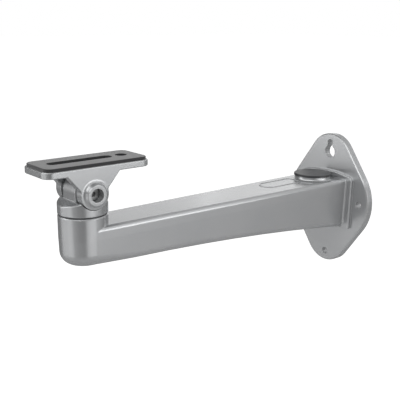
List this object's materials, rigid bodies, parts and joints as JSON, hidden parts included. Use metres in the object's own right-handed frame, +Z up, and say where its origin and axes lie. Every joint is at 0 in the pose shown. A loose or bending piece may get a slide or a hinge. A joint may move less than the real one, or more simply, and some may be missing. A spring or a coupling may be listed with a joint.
{
  "type": "camera wall bracket",
  "caption": "Cast wall bracket for a camera: keyhole wall plate, long tapering arm, and a swivelling, tilting head with a slotted, padded platform.",
  "frame": {"origin": "centre of the wall plate's back face, midway between the side screw holes", "axes": "+Y points into the wall, the arm reaches out along -Y, +Z is up, +X is the side seen in the picture"},
  "size_m": [0.0986, 0.3246, 0.1365],
  "materials": {
    "casting_silver": "die-cast aluminium with smooth satin silver paint",
    "pad_rubber": "thin dark rubber, matt",
    "plug_black": "black moulded plastic, fine satin texture",
    "washer_dark": "dark nylon",
    "fastener_steel": "zinc-plated steel, slightly dark"
  },
  "bodies": {
    "arm": {"wall_arm": "casting_silver", "cable_plug": "plug_black", "pan_thrust_washer": "washer_dark", "pan_flat_washer": "fastener_steel"},
    "swivel": {"swivel_base": "casting_silver", "pan_bolt": "fastener_steel", "pan_spring_washer": "fastener_steel"},
    "head": {"tilt_head": "casting_silver", "camera_pad": "pad_rubber", "tilt_bolt": "fastener_steel", "tilt_nut": "fastener_steel"}
  },
  "joints": [
    {"name": "pan", "type": "hinge", "parent": "arm", "child": "swivel", "pos_m": [0, -0.286, 0.032], "axis": [0, 0, 1], "range_deg": [-180, 180]},
    {"name": "tilt", "type": "hinge", "parent": "swivel", "child": "head", "pos_m": [0, -0.286, 0.049], "axis": [1, 0, 0], "range_deg": [-45, 45]}
  ]
}
